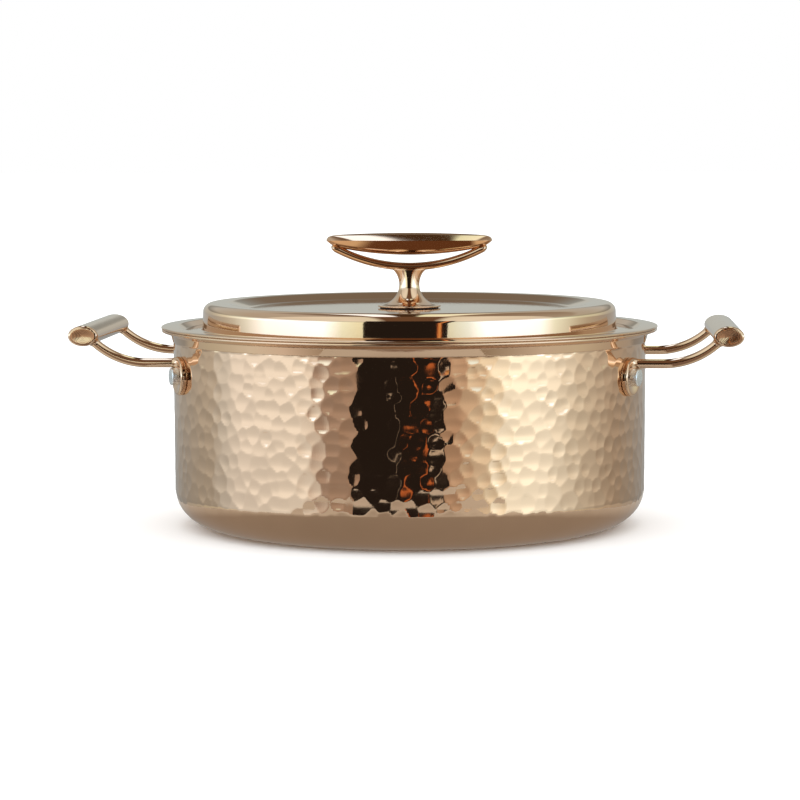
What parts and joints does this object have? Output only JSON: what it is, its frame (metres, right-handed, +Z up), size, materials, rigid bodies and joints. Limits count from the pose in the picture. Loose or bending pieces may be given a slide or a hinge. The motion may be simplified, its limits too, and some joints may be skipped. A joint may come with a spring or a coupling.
{
  "type": "soup kettle",
  "caption": "Round low soup kettle with a hammered wall, flared rim, lift-off lid with a boat-shaped knob, and riveted side handles with oval grips.",
  "frame": {"origin": "on the pot's axis, on the surface that the pot stands on", "axes": "+Z up along the pot's axis, +X through the right-hand handle, -Y towards the front"},
  "size_m": [0.3606, 0.2724, 0.1603],
  "materials": {
    "hammered_rose_gold": "mirror-polished rose-gold coating over a hand-hammered steel wall",
    "polished_rose_gold": "mirror-polished rose-gold coating on smooth steel",
    "base_steel": "circular brushed magnetic steel",
    "plain_steel": "polished bare stainless steel",
    "core_aluminium": "rolled",
    "seal_rubber": "matt silicone"
  },
  "bodies": {
    "pot": {"pot_shell": "hammered_rose_gold", "base_core": "core_aluminium", "base_plate": "base_steel", "left_grip": "polished_rose_gold", "left_grip_cap_front": "polished_rose_gold", "left_grip_cap_back": "polished_rose_gold", "left_rod_front": "polished_rose_gold", "left_rod_back": "polished_rose_gold", "left_rivets": "plain_steel", "right_grip": "polished_rose_gold", "right_grip_cap_front": "polished_rose_gold", "right_grip_cap_back": "polished_rose_gold", "right_rod_front": "polished_rose_gold", "right_rod_back": "polished_rose_gold", "right_rivets": "plain_steel"},
    "lid": {"lid_shell": "polished_rose_gold", "knob_grip": "polished_rose_gold", "knob_bow": "polished_rose_gold", "knob_stem": "polished_rose_gold", "knob_gasket": "seal_rubber", "knob_washer": "plain_steel", "knob_screw": "plain_steel"}
  },
  "joints": [
    {"name": "lid_lift", "type": "slide", "parent": "pot", "child": "lid", "axis": [0, 0, 1], "range_m": [0, 0.16]}
  ]
}
